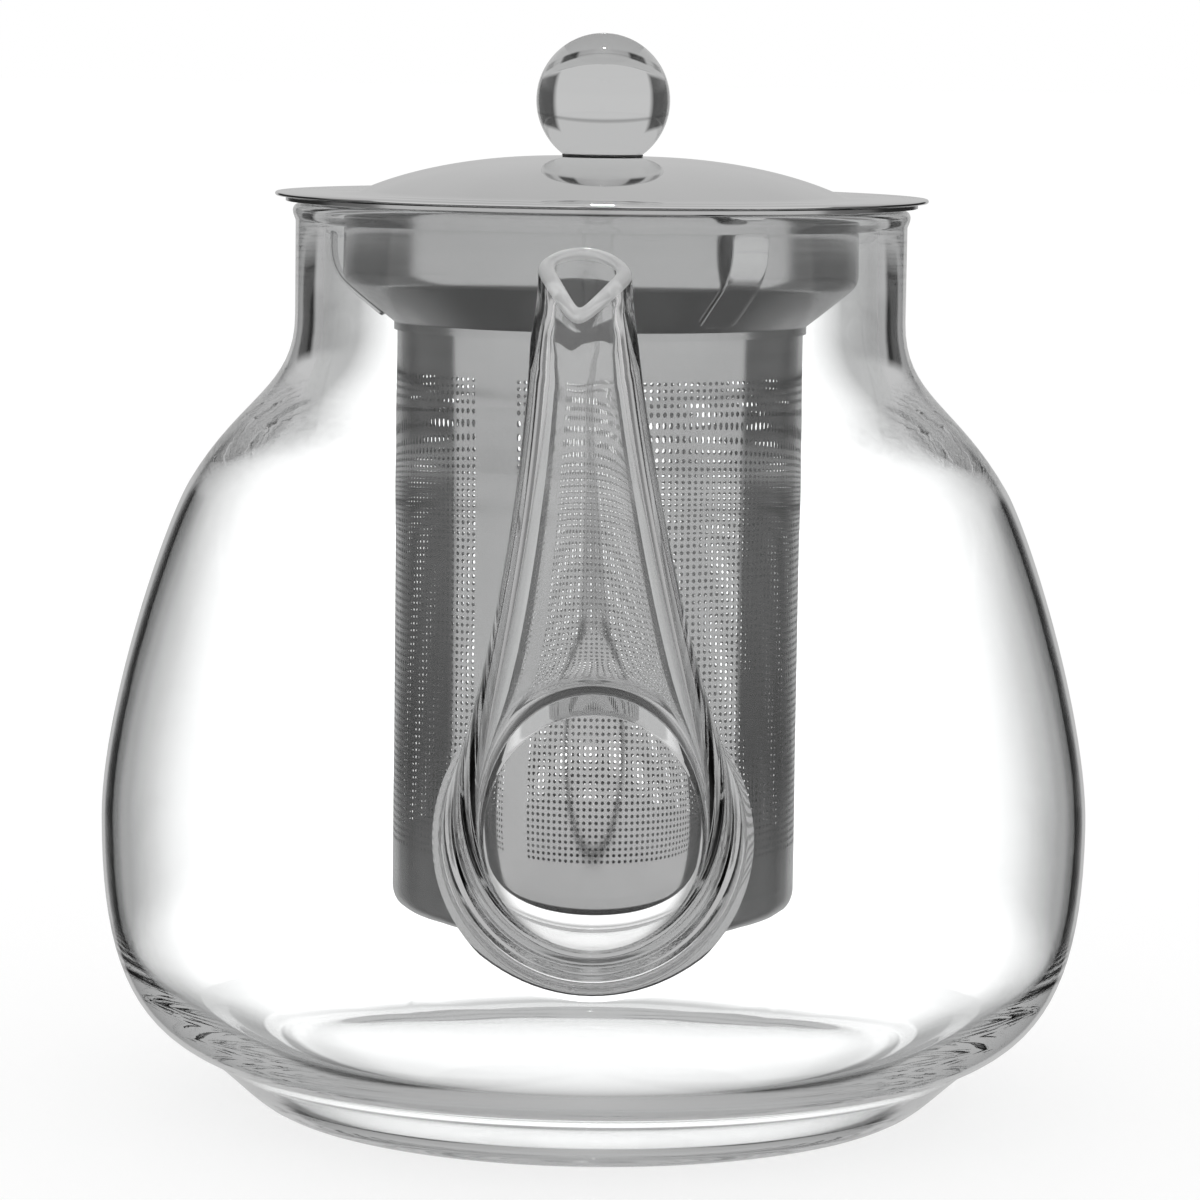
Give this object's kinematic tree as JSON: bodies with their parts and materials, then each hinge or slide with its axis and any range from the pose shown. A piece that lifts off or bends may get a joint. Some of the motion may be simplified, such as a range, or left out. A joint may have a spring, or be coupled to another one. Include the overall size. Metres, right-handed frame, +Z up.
{
  "type": "teapot",
  "caption": "Clear glass teapot with curved spout and rod handle, lift-out perforated steel infuser held by spring clips, and a domed steel lid with a glass ball knob.",
  "frame": {"origin": "centre of the foot ring, on the surface the pot stands on", "axes": "+Z up, -Y towards the spout, +Y towards the handle, +X to the right seen from the spout"},
  "size_m": [0.1496, 0.227, 0.1615],
  "materials": {
    "clear_glass": "clear, fire polished",
    "knob_glass": "clear, polished",
    "satin_steel": "satin",
    "spring_steel": "smooth",
    "polished_steel": "polished",
    "gasket_rubber": "matt"
  },
  "bodies": {
    "pot": {"glass_body": "clear_glass", "spout": "clear_glass", "handle": "clear_glass"},
    "infuser": {"infuser_cup": "satin_steel", "infuser_tube": "satin_steel", "infuser_bottom": "satin_steel"},
    "clip_left": {"clip_left": "spring_steel"},
    "clip_right": {"clip_right": "spring_steel"},
    "clip_back": {"clip_back": "spring_steel"},
    "lid": {"lid_disc": "polished_steel", "lid_ring": "satin_steel", "knob_ball": "knob_glass", "knob_gasket": "gasket_rubber", "knob_washer": "satin_steel", "knob_screw": "satin_steel"}
  },
  "joints": [
    {"name": "infuser_lift", "type": "slide", "parent": "pot", "child": "infuser", "axis": [0, 0, 1], "range_m": [0, 0.115]},
    {"name": "lid_lift", "type": "slide", "parent": "infuser", "child": "lid", "axis": [0, 0, 1], "range_m": [0, 0.06]},
    {"name": "clip_left_flex", "type": "hinge", "parent": "infuser", "child": "clip_left", "pos_m": [-0.0379, 0, 0.1245], "axis": [0, 1, 0], "range_deg": [0, 6], "stiffness_Nm_per_rad": 0.02},
    {"name": "clip_right_flex", "type": "hinge", "parent": "infuser", "child": "clip_right", "pos_m": [0.01895, -0.03282, 0.1245], "axis": [-0.866, -0.5, 0], "range_deg": [0, 6], "stiffness_Nm_per_rad": 0.02},
    {"name": "clip_back_flex", "type": "hinge", "parent": "infuser", "child": "clip_back", "pos_m": [0.01895, 0.03282, 0.1245], "axis": [0.866, -0.5, 0], "range_deg": [0, 6], "stiffness_Nm_per_rad": 0.02}
  ]
}
